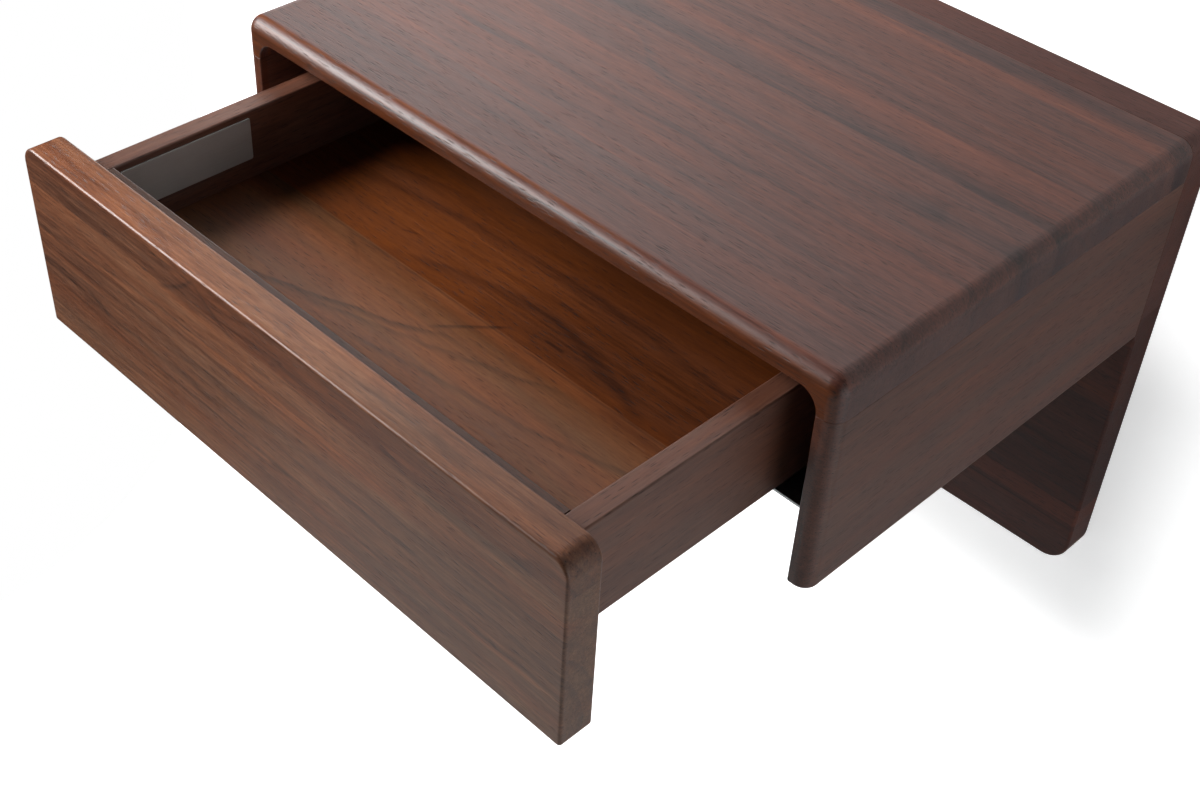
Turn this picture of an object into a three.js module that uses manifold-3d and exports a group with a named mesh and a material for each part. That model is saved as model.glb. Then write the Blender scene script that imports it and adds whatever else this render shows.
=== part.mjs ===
// Wall-hung bedside drawer in solid walnut, drawn with its drawer part open.
// Lengths are millimetres. X runs to the viewer's right, Y from the room to the wall, Z up.
// The origin is the middle of the back panel's rear face, which lies on the wall.

import * as THREE from "three";
import { mergeVertices } from "three/addons/utils/BufferGeometryUtils.js";
import Module from "manifold-3d";

const wasm = await Module();
wasm.setup();

// Carcase
const cabinetWidth = 406;
const cabinetDepth = 302;
const backHeight = 302;
const sideHeight = 124;
const boardThickness = 11.5;
const backThickness = 23;
const topCornerRadius = 9;
const insideCornerRadius = 11;
const frontEdgeRound = 8;
const footRound = 2.6;
const backFootRadius = 16;
const backEdgeRound = 2;

// Drawer front
const frontThickness = 19;
const frontSideGap = 1.8;
const frontTopGap = 3.5;
const frontFootLift = 1.5;
const frontCornerRadius = 9.5;
const frontEase = 1.5;
const frontFootRadius = 2;

// Drawer box
const boxSideGap = 19.9;
const boxEndGap = 10;
const boxHeight = 57;
const boxDrop = 12;
const boxBoardThickness = 12;
const boxEdgeRound = 1.2;
const floorThickness = 6;
const floorLift = 11;
const floorTongue = 5;
const drawerOpening = 142;

// Slides: sheet steel sections, measured inwards from the carcase side
const slideSetback = 3.5;
const slideEndGap = 6.5;
const slideFootDrop = 100.5;
const trackSheet = 1.5;
const trackWebHeight = 20;
const trackWidth = 18.6;
const trackWallHeight = 8;
const trackLip = 3.2;
const beamTravelShare = 0.5;
const beamSheet = 1.5;
const beamNeck = 3;
const beamSideGap = 1;
const beamHeadWidth = 12;
const beamShortfall = 12;
const beamEndGap = 1.5;
const runnerSideGap = 3;
const runnerLip = 3.4;
const runnerWallHeight = 7;
const runnerClearance = 1;
const runnerEndGap = 1;
const notchMargin = 1.5;

// Release catches behind the drawer front
const catchWidth = 30;
const catchLength = 46;
const catchHeight = 8;
const catchCorner = 3;
const catchLeverWidth = 12;
const catchLeverLength = 16;
const catchLeverThickness = 3;

// Hidden joinery and hangers
const dowelRadius = 3;
const dowelLength = 36;
const dowelInBack = 15;
const dowelEndGap = 1;
const dowelTip = 0.8;
const topDowelInset = 83;
const sideDowelDrops = [53, 95];
const splineThickness = 4;
const splineWidth = 16;
const splineEndMargin = 30;
const hangerInset = 43;
const hangerDrop = 38;
const hangerWidth = 18;
const hangerHeight = 42;
const hangerSheet = 2;
const hangerHoleRadius = 5;
const hangerSlotWidth = 4.6;
const hangerSlotLength = 15;
const hangerPocketDepth = 10;
const hangerPocketMargin = 3;

// Working values
const fitGap = 0.3;
const overrun = 20;
const arcSteps = 8;
const easeSteps = 3;
const dowelSides = 20;

// Levels and positions that follow from the sizes above; the slides come out 250 long
const halfWidth = cabinetWidth / 2;
const openingHalf = halfWidth - boardThickness;
const topLevel = backHeight / 2;
const frontPlane = -cabinetDepth;
const backFacePlane = -backThickness;
const jointLevel = topLevel - boardThickness - insideCornerRadius;
const sideFootLevel = topLevel - sideHeight;
const ceilingLevel = topLevel - boardThickness;
const innerDepth = cabinetDepth - frontThickness - backThickness;

const drawerFace = frontPlane - drawerOpening;
const boxFace = drawerFace + frontThickness;
const boxInnerFace = boxFace + boxBoardThickness;
const boxRear = boxFace + innerDepth - boxEndGap;
const frontTop = ceilingLevel - frontTopGap;
const frontFoot = sideFootLevel + frontFootLift;
const frontHalf = openingHalf - frontSideGap;
const boxHalf = openingHalf - boxSideGap;
const boxInnerHalf = boxHalf - boxBoardThickness;
const boxTop = frontTop - boxDrop;
const boxFoot = boxTop - boxHeight;
const floorUnderside = boxFoot + floorLift;

const trackFront = frontPlane + frontThickness + slideSetback;
const trackRear = backFacePlane - slideEndGap;
const beamLength = trackRear - trackFront - beamShortfall;
const trackFoot = topLevel - slideFootDrop - trackSheet;
const runnerTop = floorUnderside - fitGap;
const runnerWidth = beamHeadWidth + (runnerClearance + trackSheet) * 2;
const trackMiddle = boxSideGap + boxBoardThickness + runnerSideGap + runnerWidth / 2;
const beamFoot = trackFoot + trackSheet + fitGap;
const beamTop = runnerTop - trackSheet - fitGap;
const beamFrontClosed = frontPlane + frontThickness + boxBoardThickness + beamEndGap;
const hangerLevel = topLevel - hangerDrop;
const hangerPlaces = [hangerInset - halfWidth, halfWidth - hangerInset];

// Closed solids and the cuts between them
function toSolid(geometry) {
  const plain = geometry.clone();
  plain.deleteAttribute("normal");
  plain.deleteAttribute("uv");
  const merged = mergeVertices(plain);
  const vertProperties = new Float32Array(merged.getAttribute("position").array);
  const triVerts = new Uint32Array(merged.index.array);
  return new wasm.Manifold(new wasm.Mesh({ numProp: 3, vertProperties, triVerts }));
}

function toGeometry(solid) {
  const mesh = solid.getMesh();
  const geometry = new THREE.BufferGeometry();
  geometry.setAttribute("position", new THREE.BufferAttribute(new Float32Array(mesh.vertProperties), 3));
  geometry.setIndex(new THREE.BufferAttribute(new Uint32Array(mesh.triVerts), 1));
  geometry.computeVertexNormals();
  return geometry;
}

function cutAway(geometry, ...cutters) {
  let solid = toSolid(geometry);
  for (const cutter of cutters) {
    solid = solid.subtract(toSolid(cutter));
  }
  return toGeometry(solid);
}

function joined(...geometries) {
  const solids = geometries.map((geometry) => toSolid(geometry));
  return toGeometry(solids.reduce((whole, solid) => whole.add(solid)));
}

function common(first, second) {
  return toGeometry(toSolid(first).intersect(toSolid(second)));
}

// A rectangular block between two opposite corners
function block(x0, x1, y0, y1, z0, z1) {
  const geometry = new THREE.BoxGeometry(x1 - x0, y1 - y0, z1 - z0);
  return geometry.translate((x0 + x1) / 2, (y0 + y1) / 2, (z0 + z1) / 2);
}

// A rectangle outline with its own radius at each corner; a radius of zero leaves it sharp
function roundedRectangle(u0, u1, v0, v1, radii) {
  const { lowLeft = 0, lowRight = 0, highRight = 0, highLeft = 0 } = radii;
  const shape = new THREE.Shape();
  shape.moveTo(u0 + lowLeft, v0);
  shape.lineTo(u1 - lowRight, v0);
  if (lowRight > 0) {
    shape.absarc(u1 - lowRight, v0 + lowRight, lowRight, -Math.PI / 2, 0, false);
  }
  shape.lineTo(u1, v1 - highRight);
  if (highRight > 0) {
    shape.absarc(u1 - highRight, v1 - highRight, highRight, 0, Math.PI / 2, false);
  }
  shape.lineTo(u0 + highLeft, v1);
  if (highLeft > 0) {
    shape.absarc(u0 + highLeft, v1 - highLeft, highLeft, Math.PI / 2, Math.PI, false);
  }
  shape.lineTo(u0, v0 + lowLeft);
  if (lowLeft > 0) {
    shape.absarc(u0 + lowLeft, v0 + lowLeft, lowLeft, Math.PI, Math.PI * 1.5, false);
  }
  return shape;
}

// Pushes an outline along an axis, from start to end, and rounds both ends by ease
function extrude(shape, start, end, ease = 0, steps = easeSteps) {
  const geometry = new THREE.ExtrudeGeometry(shape, {
    depth: end - start - ease * 2,
    curveSegments: arcSteps,
    bevelEnabled: ease > 0,
    bevelThickness: ease,
    bevelSize: ease,
    bevelOffset: -ease,
    bevelSegments: steps,
  });
  return geometry.translate(0, 0, start + ease);
}

// The outline lies in X and Z and is pushed along Y
function extrudeAlongY(shape, front, rear, ease = 0, steps = easeSteps) {
  return extrude(shape, -rear, -front, ease, steps).rotateX(Math.PI / 2);
}

// The outline of bent sheet: a centre line of points, half the sheet on either side
function foldedSheet(points, sheet) {
  const directions = points.slice(1).map((point, index) => point.clone().sub(points[index]).normalize());
  const side = (sign) =>
    points.map((point, index) => {
      const arriving = directions[Math.max(index - 1, 0)];
      const leaving = directions[Math.min(index, directions.length - 1)];
      const along = arriving.clone().add(leaving).normalize();
      const across = new THREE.Vector2(-along.y, along.x);
      return point.clone().addScaledVector(across, (sign * sheet) / 2 / along.dot(leaving));
    });
  return new THREE.Shape([...side(1), ...side(-1).reverse()]);
}

// The same piece on the other side of the middle
function mirrored(geometry) {
  const copy = geometry.index ? geometry.toNonIndexed() : geometry.clone();
  copy.scale(-1, 1, 1);
  const position = copy.getAttribute("position");
  for (let corner = 0; corner < position.count; corner += 3) {
    for (const axis of ["X", "Y", "Z"]) {
      const second = position[`get${axis}`](corner + 1);
      position[`set${axis}`](corner + 1, position[`get${axis}`](corner + 2));
      position[`set${axis}`](corner + 2, second);
    }
  }
  copy.computeVertexNormals();
  return copy;
}

// Dowels between the carcase and the back panel, and the holes that hold them
const dowelPlaces = [];
for (const side of [-1, 0, 1]) {
  dowelPlaces.push({ x: side * (halfWidth - topDowelInset), z: topLevel - boardThickness / 2 });
}
for (const side of [-1, 1]) {
  for (const drop of sideDowelDrops) {
    dowelPlaces.push({ x: side * (halfWidth - boardThickness / 2), z: topLevel - drop });
  }
}
const dowelRear = backFacePlane + dowelInBack;
const dowelFront = dowelRear - dowelLength;

function dowelHole(place) {
  const length = dowelLength + dowelEndGap * 2;
  const hole = new THREE.CylinderGeometry(dowelRadius + fitGap, dowelRadius + fitGap, length, dowelSides);
  return hole.translate(place.x, (dowelFront + dowelRear) / 2, place.z);
}

function dowel(place) {
  const half = dowelLength / 2;
  const profile = [
    new THREE.Vector2(0, -half),
    new THREE.Vector2(dowelRadius - dowelTip, -half),
    new THREE.Vector2(dowelRadius, -half + dowelTip),
    new THREE.Vector2(dowelRadius, half - dowelTip),
    new THREE.Vector2(dowelRadius - dowelTip, half),
    new THREE.Vector2(0, half),
  ];
  return new THREE.LatheGeometry(profile, dowelSides).translate(place.x, (dowelFront + dowelRear) / 2, place.z);
}

const dowelHoles = dowelPlaces.map(dowelHole);

// Loose tongues in the joints between the top and the sides
const splineMiddle = halfWidth - boardThickness / 2;
const splineFront = frontPlane + splineEndMargin;
const splineRear = dowelFront - splineEndMargin;

function splineBlock(margin) {
  const half = splineThickness / 2 + margin;
  const reach = splineWidth / 2 + margin;
  return block(
    splineMiddle - half, splineMiddle + half,
    splineFront - margin, splineRear + margin,
    jointLevel - reach, jointLevel + reach,
  );
}

const rightSplineSlot = splineBlock(fitGap);
const leftSplineSlot = mirrored(rightSplineSlot);

// Top panel: bent down at both ends, wide round along the front edge and the outer corners
function buildTop() {
  const low = jointLevel - overrun;
  const outer = roundedRectangle(-halfWidth, halfWidth, low, topLevel, {
    lowLeft: topCornerRadius,
    lowRight: topCornerRadius,
    highRight: topCornerRadius,
    highLeft: topCornerRadius,
  });
  const inner = roundedRectangle(-openingHalf, openingHalf, low - overrun, ceilingLevel, {
    highRight: insideCornerRadius,
    highLeft: insideCornerRadius,
  });
  const envelope = extrudeAlongY(outer, frontPlane, backFacePlane + overrun, frontEdgeRound, arcSteps);
  const opening = extrudeAlongY(inner, frontPlane - overrun, backFacePlane + overrun * 2);
  const keep = block(
    -halfWidth - overrun, halfWidth + overrun,
    frontPlane - overrun, backFacePlane,
    jointLevel, topLevel + overrun,
  );
  return cutAway(common(envelope, keep), opening, rightSplineSlot, leftSplineSlot, ...dowelHoles);
}

// Right side panel: the same wide round runs down its front edge to an eased foot
function buildRightSide() {
  const plan = roundedRectangle(openingHalf, halfWidth, frontPlane, backFacePlane + overrun, {
    lowRight: frontEdgeRound,
  });
  const blank = extrude(plan, sideFootLevel, jointLevel + overrun, footRound);
  const keep = block(
    0, halfWidth + overrun,
    frontPlane - overrun, backFacePlane,
    sideFootLevel - overrun, jointLevel,
  );
  return cutAway(common(blank, keep), rightSplineSlot, ...dowelHoles);
}

// Keyhole hangers let into the rear of the back panel
function stadium(width, height, x, z) {
  const radius = width / 2;
  const corners = { lowLeft: radius, lowRight: radius, highRight: radius, highLeft: radius };
  return roundedRectangle(x - radius, x + radius, z - height / 2, z + height / 2, corners);
}

function hanger(x) {
  const plate = stadium(hangerWidth, hangerHeight, x, hangerLevel);
  const holeLevel = hangerLevel - hangerSlotLength / 2;
  const slotHalf = hangerSlotWidth / 2;
  const neck = Math.asin(slotHalf / hangerHoleRadius);
  const keyhole = new THREE.Path();
  keyhole.absarc(x, holeLevel, hangerHoleRadius, Math.PI / 2 + neck, Math.PI * 2.5 - neck, false);
  keyhole.absarc(x, holeLevel + hangerSlotLength, slotHalf, 0, Math.PI, false);
  plate.holes.push(keyhole);
  return extrudeAlongY(plate, -hangerSheet, 0);
}

function hangerPocket(x) {
  const seat = stadium(hangerWidth + fitGap * 2, hangerHeight + fitGap * 2, x, hangerLevel);
  const pocketWidth = hangerHoleRadius * 2 + hangerPocketMargin;
  const pocket = stadium(pocketWidth, pocketWidth + hangerSlotLength, x, hangerLevel);
  return joined(
    extrudeAlongY(seat, -hangerSheet - fitGap, overrun),
    extrudeAlongY(pocket, -hangerPocketDepth, overrun),
  );
}

// Back panel: eased all round behind, and in front only where it hangs below the carcase
function buildBack() {
  const outline = roundedRectangle(-halfWidth, halfWidth, -topLevel, topLevel, {
    lowLeft: backFootRadius,
    lowRight: backFootRadius,
    highRight: topCornerRadius,
    highLeft: topCornerRadius,
  });
  const upper = block(
    -halfWidth - overrun, halfWidth + overrun,
    backFacePlane, overrun,
    sideFootLevel, topLevel + overrun,
  );
  const lower = block(
    -halfWidth - overrun, halfWidth + overrun,
    backFacePlane - overrun, overrun,
    -topLevel - overrun, sideFootLevel,
  );
  const hidden = common(extrudeAlongY(outline, backFacePlane - overrun, 0, backEdgeRound), upper);
  const exposed = common(extrudeAlongY(outline, backFacePlane, 0, backEdgeRound), lower);
  const pockets = hangerPlaces.map(hangerPocket);
  return cutAway(joined(hidden, exposed), ...dowelHoles, ...pockets);
}

// Drawer front: round top corners that follow the opening, eased edges all round
function buildDrawerFront() {
  const outline = roundedRectangle(-frontHalf, frontHalf, frontFoot, frontTop, {
    lowLeft: frontFootRadius,
    lowRight: frontFootRadius,
    highRight: frontCornerRadius,
    highLeft: frontCornerRadius,
  });
  return extrudeAlongY(outline, drawerFace, boxFace, frontEase);
}

// The floor panel rides in a groove in all four box boards
const floorSlot = block(
  -boxInnerHalf - floorTongue - fitGap, boxInnerHalf + floorTongue + fitGap,
  boxInnerFace - floorTongue - fitGap, boxRear - boxBoardThickness + floorTongue + fitGap,
  floorUnderside - fitGap, floorUnderside + floorThickness + fitGap,
);

function boxBoard(x0, x1, y0, y1) {
  const outline = roundedRectangle(x0, x1, boxFoot, boxTop, {
    highRight: boxEdgeRound,
    highLeft: boxEdgeRound,
  });
  return extrudeAlongY(outline, y0, y1);
}

function crossBoard(y0, y1) {
  const side = new THREE.Matrix4().makeBasis(
    new THREE.Vector3(0, 1, 0),
    new THREE.Vector3(0, 0, 1),
    new THREE.Vector3(1, 0, 0),
  );
  const outline = roundedRectangle(y0, y1, boxFoot, boxTop, {
    highRight: boxEdgeRound,
    highLeft: boxEdgeRound,
  });
  return extrude(outline, -boxInnerHalf, boxInnerHalf).applyMatrix4(side);
}

// The box back is notched beneath the floor so that the slides pass through it
function buildDrawerBack() {
  const rear = crossBoard(boxRear - boxBoardThickness, boxRear);
  const reach = openingHalf - trackMiddle - runnerWidth / 2 - notchMargin;
  const notch = block(
    reach, boxInnerHalf + overrun,
    boxRear - boxBoardThickness - overrun, boxRear + overrun,
    boxFoot - overrun, floorUnderside - fitGap,
  );
  return cutAway(rear, floorSlot, notch, mirrored(notch));
}

function buildFloor() {
  return block(
    -boxInnerHalf - floorTongue, boxInnerHalf + floorTongue,
    boxInnerFace - floorTongue, boxRear - boxBoardThickness + floorTongue,
    floorUnderside, floorUnderside + floorThickness,
  );
}

// A section of the right-hand slide, from distances in from the carcase side and heights
function sectionPoint(inwards, height) {
  return new THREE.Vector2(openingHalf - inwards, height);
}

// Cabinet rail: an angle screwed to the carcase side, with a lipped track on its foot
function buildCabinetRail() {
  const half = trackSheet / 2;
  const footLine = trackFoot + half;
  const wallTop = footLine + trackWallHeight;
  const innerWall = trackMiddle + trackWidth / 2;
  const outerWall = trackMiddle - trackWidth / 2;
  const angle = foldedSheet(
    [
      sectionPoint(half + fitGap, trackFoot + trackWebHeight),
      sectionPoint(half + fitGap, footLine),
      sectionPoint(innerWall, footLine),
      sectionPoint(innerWall, wallTop),
      sectionPoint(innerWall - trackLip, wallTop),
    ],
    trackSheet,
  );
  const hook = foldedSheet(
    [
      sectionPoint(outerWall, footLine),
      sectionPoint(outerWall, wallTop),
      sectionPoint(outerWall + trackLip, wallTop),
    ],
    trackSheet,
  );
  return joined(
    extrudeAlongY(angle, trackFront, trackRear),
    extrudeAlongY(hook, trackFront, trackRear),
  );
}

// Middle rail: a flanged beam held by the track below and by the runner above
function buildMiddleRail() {
  const front = beamFrontClosed - drawerOpening * beamTravelShare;
  const rear = front + beamLength;
  const middle = openingHalf - trackMiddle;
  const flangeWidth = trackWidth - trackSheet - beamSideGap * 2;
  const level = (width, low, high) => block(middle - width / 2, middle + width / 2, front, rear, low, high);
  return joined(
    level(flangeWidth, beamFoot, beamFoot + beamSheet),
    level(beamNeck, beamFoot, beamTop),
    level(beamHeadWidth, beamTop - beamSheet, beamTop),
  );
}

// Drawer runner: a channel under the drawer floor whose lips hook below the beam's head
function buildRunner() {
  const half = trackSheet / 2;
  const wall = runnerWidth / 2 - half;
  const lineTop = runnerTop - half;
  const lineLow = lineTop - runnerWallHeight;
  const channel = foldedSheet(
    [
      sectionPoint(trackMiddle - wall + runnerLip, lineLow),
      sectionPoint(trackMiddle - wall, lineLow),
      sectionPoint(trackMiddle - wall, lineTop),
      sectionPoint(trackMiddle + wall, lineTop),
      sectionPoint(trackMiddle + wall, lineLow),
      sectionPoint(trackMiddle + wall - runnerLip, lineLow),
    ],
    trackSheet,
  );
  return extrudeAlongY(channel, boxInnerFace + runnerEndGap, boxRear);
}

// Release catch: a block under the floor beside the runner, with a finger lever
function buildCatch() {
  const outerEdge = openingHalf - trackMiddle - runnerWidth / 2 - fitGap;
  const top = floorUnderside - fitGap;
  const front = boxInnerFace + fitGap;
  const corners = { lowLeft: catchCorner, lowRight: catchCorner, highRight: 0, highLeft: catchCorner };
  const body = roundedRectangle(outerEdge - catchWidth, outerEdge, -front - catchLength, -front, corners);
  const lever = roundedRectangle(
    outerEdge - catchWidth - catchLeverWidth,
    outerEdge - catchWidth + catchCorner,
    -front - catchLeverLength - catchCorner,
    -front - catchCorner,
    { lowLeft: catchCorner, highLeft: catchCorner },
  );
  const flip = (geometry) => geometry.rotateX(Math.PI);
  return joined(
    flip(extrude(body, -top, -top + catchHeight)),
    flip(extrude(lever, -top + catchHeight - catchLeverThickness, -top + catchHeight)),
  );
}

// Finishes
const finishes = {
  topWalnut: { color: 0x6b4a40, roughness: 0.42, metalness: 0 },
  sideWalnut: { color: 0x54403b, roughness: 0.45, metalness: 0 },
  frontWalnut: { color: 0x6c4b3f, roughness: 0.45, metalness: 0 },
  boxWalnut: { color: 0x5a3d34, roughness: 0.5, metalness: 0 },
  floorWalnut: { color: 0x6a3d27, roughness: 0.4, metalness: 0 },
  beech: { color: 0xc49a6c, roughness: 0.7, metalness: 0 },
  zincSteel: { color: 0xa9adad, roughness: 0.4, metalness: 0.9 },
  greyPlastic: { color: 0x55585a, roughness: 0.55, metalness: 0 },
};

const nightstand = new THREE.Group();
nightstand.name = "floating_nightstand";

function add(name, geometry, finish) {
  const mesh = new THREE.Mesh(geometry, new THREE.MeshStandardMaterial(finishes[finish]));
  mesh.name = name;
  nightstand.add(mesh);
}

function addPair(suffix, rightGeometry, finish) {
  add(`left_${suffix}`, mirrored(rightGeometry), finish);
  add(`right_${suffix}`, rightGeometry, finish);
}

add("top_panel", buildTop(), "topWalnut");
addPair("side_panel", buildRightSide(), "sideWalnut");
add("back_panel", buildBack(), "sideWalnut");
addPair("corner_spline", splineBlock(0), "beech");
dowelPlaces.forEach((place, index) => add(`back_dowel_${index + 1}`, dowel(place), "beech"));
add("left_keyhole_hanger", hanger(hangerPlaces[0]), "zincSteel");
add("right_keyhole_hanger", hanger(hangerPlaces[1]), "zincSteel");

add("drawer_front", buildDrawerFront(), "frontWalnut");
add("drawer_subfront", cutAway(crossBoard(boxFace, boxInnerFace), floorSlot), "boxWalnut");
addPair("drawer_side", cutAway(boxBoard(boxInnerHalf, boxHalf, boxFace, boxRear), floorSlot), "boxWalnut");
add("drawer_back", buildDrawerBack(), "boxWalnut");
add("drawer_floor", buildFloor(), "floorWalnut");

addPair("cabinet_rail", buildCabinetRail(), "zincSteel");
addPair("middle_rail", buildMiddleRail(), "zincSteel");
addPair("drawer_runner", buildRunner(), "zincSteel");
addPair("release_catch", buildCatch(), "greyPlastic");

export default nightstand;
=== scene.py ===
import math

import bmesh
import bpy
import numpy as np
from mathutils import Matrix, Vector


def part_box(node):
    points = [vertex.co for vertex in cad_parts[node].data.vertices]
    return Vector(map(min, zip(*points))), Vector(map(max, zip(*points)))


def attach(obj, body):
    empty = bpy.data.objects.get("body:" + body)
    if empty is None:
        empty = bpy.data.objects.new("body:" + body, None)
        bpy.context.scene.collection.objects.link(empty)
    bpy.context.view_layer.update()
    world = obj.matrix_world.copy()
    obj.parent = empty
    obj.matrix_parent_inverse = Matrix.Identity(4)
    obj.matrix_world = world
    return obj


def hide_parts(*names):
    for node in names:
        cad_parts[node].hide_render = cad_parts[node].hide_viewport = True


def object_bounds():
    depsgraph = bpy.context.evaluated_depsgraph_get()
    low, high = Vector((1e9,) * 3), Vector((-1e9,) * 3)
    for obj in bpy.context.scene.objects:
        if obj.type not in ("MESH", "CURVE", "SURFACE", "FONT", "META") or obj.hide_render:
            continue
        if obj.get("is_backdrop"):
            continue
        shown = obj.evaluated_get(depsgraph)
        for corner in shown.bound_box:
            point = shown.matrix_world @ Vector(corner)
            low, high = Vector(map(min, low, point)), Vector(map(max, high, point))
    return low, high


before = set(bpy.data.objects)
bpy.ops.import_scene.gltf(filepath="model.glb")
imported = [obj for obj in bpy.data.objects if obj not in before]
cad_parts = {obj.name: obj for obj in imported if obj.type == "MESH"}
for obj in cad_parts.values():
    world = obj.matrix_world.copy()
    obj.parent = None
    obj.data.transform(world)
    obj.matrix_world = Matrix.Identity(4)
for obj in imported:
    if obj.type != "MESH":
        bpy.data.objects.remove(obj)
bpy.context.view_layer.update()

# Sizes, in millimetres, that the frame's boxes don't give
MM = 0.001
TOP_CORNER = 9.0
INSIDE_CORNER = 11.0
FRONT_ROUND = 8.0
OPENING_EASE = 0.7
FOOT_EASE = 2.6
BACK_FOOT_CORNER = 16.0
BACK_EASE = 2.0
SEAM_EASE = 0.22
FACE_CORNER = 9.5
FACE_FOOT_CORNER = 2.0
FACE_EASE = 1.5
SUPPORT = 0.4
SMALLEST_RADIUS = 0.02

# Steps of an arc, angles in radians, and in metres how close points are welded
EASE_STEPS = 8
ROUND_STEPS = 24
CORNER_STEPS = 20
OPENING_STEPS = 5
QUARTER = math.pi / 2
STRAIGHT = 1e-3
SHARP_EDGE = math.radians(38)
WELD = 1e-7


def corners_of(node):
    """Lowest and highest corner of a frame node in millimetres."""
    low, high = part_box(node)
    return np.array(low) / MM, np.array(high) / MM


# Meshes


def points_per_corner(steps):
    """How many points the outline gives each corner: its arc's, and one more on either run."""
    return steps + 3


def to_left(ways):
    """Flat directions turned a quarter to the left."""
    return np.stack([-ways[:, 1], ways[:, 0]], 1)


def cross(first, second):
    """How far to the left the second of two flat directions points, for each pair."""
    return first[:, 0] * second[:, 1] - first[:, 1] * second[:, 0]


def outline(corners, radii, inset=0.0, steps=EASE_STEPS, support=SUPPORT):
    """A closed outline in the plane, as an array of points.

    The straight runs join the corners, which go round anticlockwise. Every corner is an arc of its
    own radius, tangent to both runs, with one more point on each run close to the arc's ends. A
    corner that doesn't turn spreads as many points along the run, a radius to either side. Inset
    moves the runs inwards, which takes as much off a convex radius and adds it to a hollow one.
    """
    corners = np.asarray(corners, float)
    radii = np.broadcast_to(np.asarray(radii, float), len(corners))
    inset = np.broadcast_to(np.asarray(inset, float), len(corners))
    arriving = corners - np.roll(corners, 1, axis=0)
    arriving /= np.linalg.norm(arriving, axis=1)[:, None]
    leaving = np.roll(arriving, -1, axis=0)
    inward_in, inward_out = to_left(arriving), to_left(leaving)
    share = 1 + (inward_in * inward_out).sum(1)
    moved = corners + (inward_in + inward_out) * (inset / share)[:, None]
    turn = np.arctan2(cross(arriving, leaving), (arriving * leaving).sum(1))
    points = []
    for k in range(len(corners)):
        if abs(turn[k]) < STRAIGHT:
            reach = max(radii[k], support)
            shares = np.linspace(-1, 1, points_per_corner(steps))[:, None]
            points.append(moved[k] + arriving[k] * reach * shares)
            continue
        bend = np.sign(turn[k])
        radius = max(radii[k] - bend * inset[k], SMALLEST_RADIUS)
        reach = radius * math.tan(abs(turn[k]) / 2)
        start = moved[k] - arriving[k] * reach
        end = moved[k] + leaving[k] * reach
        centre = start + inward_in[k] * radius * bend
        angle = np.linspace(0, turn[k], steps + 1)
        arm = start - centre
        arc = np.outer(np.cos(angle), arm) + np.outer(np.sin(angle), (-arm[1], arm[0])) + centre
        points.append(np.vstack([start - arriving[k] * support, arc, end + leaving[k] * support]))
    return np.vstack(points)


def link_rings(rings, cap_start=True, cap_end=True):
    """Vertices and faces of a tube through closed rings in order; its ends may be covered."""
    count, around, _ = rings.shape
    index = np.arange(count * around).reshape(count, around)
    following = np.roll(index, -1, axis=1)
    quads = np.stack([index[:-1], following[:-1], following[1:], index[1:]], -1).reshape(-1, 4)
    faces = quads.tolist()
    if cap_start:
        faces.append(index[0][::-1].tolist())
    if cap_end:
        faces.append(index[-1].tolist())
    return rings.reshape(-1, 3), faces


def placed(name, data):
    """A new object of the scene that holds a mesh, lamp or camera."""
    made = bpy.data.objects.new(name, data)
    bpy.context.scene.collection.objects.link(made)
    return made


def finish_mesh(work, mesh):
    """Writes worked faces back to their mesh, smooth but for its sharp edges."""
    work.to_mesh(mesh)
    work.free()
    mesh.shade_smooth()
    mesh.set_sharp_from_angle(angle=SHARP_EDGE)


def piece(name, body, parts, material):
    """Joins parts, each vertices in millimetres and faces, into one mesh that rides on a body."""
    vertices, faces, used = [], [], 0
    for points, sides in parts:
        vertices.append(np.asarray(points, float) * MM)
        faces += [[corner + used for corner in side] for side in sides]
        used += len(points)
    mesh = bpy.data.meshes.new(name)
    mesh.from_pydata(np.vstack(vertices).tolist(), [], faces)
    work = bmesh.new()
    work.from_mesh(mesh)
    bmesh.ops.remove_doubles(work, verts=work.verts, dist=WELD)
    if work.calc_volume(signed=True) < 0:
        bmesh.ops.reverse_faces(work, faces=work.faces)
    finish_mesh(work, mesh)
    mesh.materials.append(material)
    made = placed(name, mesh)
    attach(made, body)
    return made


# For each axis, the two that a flat outline across it lies in, and its own
PLANES = {"X": (1, 2, 0), "Y": (2, 0, 1), "Z": (0, 1, 2)}


def along(axis, flat, position):
    """Points in space of a flat outline that stands across an axis at a position on it."""
    first, second, out = PLANES[axis]
    points = np.empty((len(flat), 3))
    points[:, first] = flat[:, 0]
    points[:, second] = flat[:, 1]
    points[:, out] = position
    return points


def facing_back(flat, y):
    """Points in space of an outline in X and Z at a depth y."""
    return along("Y", flat[:, ::-1], y)


def board(axis, corners, radii, start, end, ease_start, ease_end, steps=EASE_STEPS,
          corner_steps=EASE_STEPS, support=SUPPORT, caps=(True, True)):
    """A board: an outline across an axis, pushed from start to end, with quarter-round eased ends.

    An ease is one size, or one for each corner. At the share s of its quarter turn the outline is
    inset by ease times one minus sine s, and stands at ease times one minus cosine s from the end.
    Caps say whether its start and end are covered.
    """
    per_corner = points_per_corner(corner_steps)
    rings = []
    turns = np.linspace(0, QUARTER, steps + 1)
    for place, way, ease in ((start, 1, ease_start), (end, -1, ease_end)):
        ease = np.broadcast_to(np.asarray(ease, float), len(corners))
        half = [along(axis, outline(corners, radii, ease + support, corner_steps, support), place)]
        for turn in turns:
            flat = outline(corners, radii, ease * (1 - math.sin(turn)), corner_steps, support)
            depth = np.repeat(place + way * ease * (1 - math.cos(turn)), per_corner)
            half.append(along(axis, flat, depth))
        depth = np.repeat(place + way * (ease + support), per_corner)
        half.append(along(axis, outline(corners, radii, 0, corner_steps, support), depth))
        rings += half if way > 0 else half[::-1]
    return link_rings(np.array(rings), *caps)


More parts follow.
